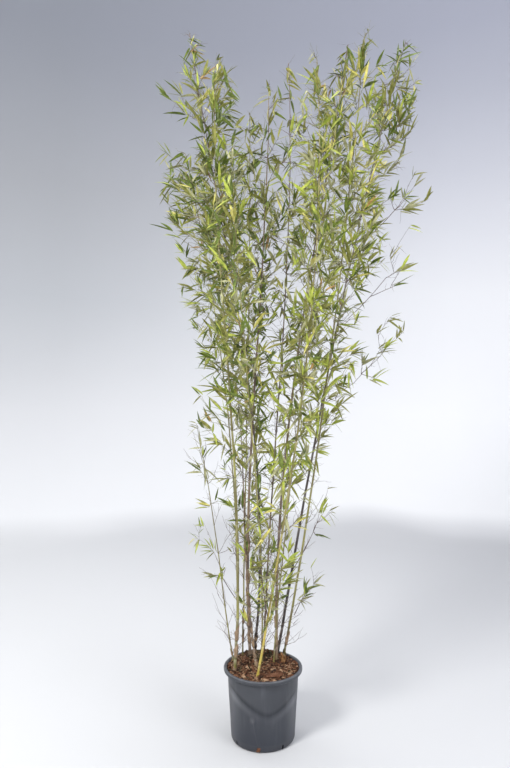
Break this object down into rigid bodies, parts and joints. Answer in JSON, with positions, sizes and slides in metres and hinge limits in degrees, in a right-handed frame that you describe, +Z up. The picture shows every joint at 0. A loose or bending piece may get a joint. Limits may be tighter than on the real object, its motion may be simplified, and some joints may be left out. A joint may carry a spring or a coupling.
{
  "type": "potted bamboo",
  "caption": "Tall, narrow clump of bamboo canes fanning out of a round plastic nursery pot, with airy masses of leaves round each cane from knee height to the tips.",
  "frame": {"origin": "centre of the pot's flat underside, on the surface it stands on", "axes": "+Z up along the canes, +X to the right and -Y towards the front, where the clump leans to +X"},
  "size_m": [1.1524, 0.871, 2.868],
  "materials": {
    "pot_plastic": "semi-gloss moulded grey plastic, lightly scuffed",
    "bark_soil": "dark compost under red-brown bark chips",
    "cane_black": "smooth black cane with pale node rings",
    "cane_brown": "grey-brown cane with dry sheaths",
    "cane_green": "smooth olive green cane",
    "cane_yellow": "smooth yellow cane",
    "bough": "thin wiry side branch",
    "stump": "dry cut stump with papery sheaths",
    "leaves": "narrow satin leaves, green to yellow-green"
  },
  "bodies": {
    "root": {"bough_back_foot": "bough", "bough_front_foot": "bough", "bough_left_foot": "bough", "bough_right_foot": "bough", "bough_right_high": "bough", "bough_right_low": "bough", "bough_right_middle": "bough", "bough_right_wide": "bough", "culm_black_left": "cane_black", "culm_black_right": "cane_black", "culm_brown_centre": "cane_brown", "culm_dark_back": "cane_black", "culm_green_left": "cane_green", "culm_grey_left": "cane_green", "culm_grey_right": "cane_brown", "culm_olive_right": "cane_green", "culm_pale_left": "cane_green", "culm_sheathed": "cane_brown", "culm_slender_front": "cane_green", "culm_thin_green": "cane_green", "culm_thin_right": "cane_green", "culm_yellow_front": "cane_yellow", "leaves_back_foot": "leaves", "leaves_black_left_low": "leaves", "leaves_black_left_middle": "leaves", "leaves_black_left_top": "leaves", "leaves_black_right_low": "leaves", "leaves_black_right_middle": "leaves", "leaves_black_right_top": "leaves", "leaves_brown_centre_low": "leaves", "leaves_brown_centre_top": "leaves", "leaves_dark_back_low": "leaves", "leaves_dark_back_top": "leaves", "leaves_front_foot": "leaves", "leaves_green_left_low": "leaves", "leaves_green_left_top": "leaves", "leaves_grey_left_low": "leaves", "leaves_grey_left_top": "leaves", "leaves_grey_right_low": "leaves", "leaves_grey_right_top": "leaves", "leaves_left_foot": "leaves", "leaves_olive_right_low": "leaves", "leaves_olive_right_top": "leaves", "leaves_pale_left_top": "leaves", "leaves_right_foot": "leaves", "leaves_right_high": "leaves", "leaves_right_low": "leaves", "leaves_right_middle": "leaves", "leaves_right_wide": "leaves", "leaves_sheathed_top": "leaves", "leaves_slender_front_top": "leaves", "leaves_thin_green_low": "leaves", "leaves_thin_green_top": "leaves", "leaves_thin_right_top": "leaves", "leaves_yellow_front_low": "leaves", "leaves_yellow_front_top": "leaves", "pot": "pot_plastic", "soil": "bark_soil", "stump": "stump"}
  },
  "joints": []
}
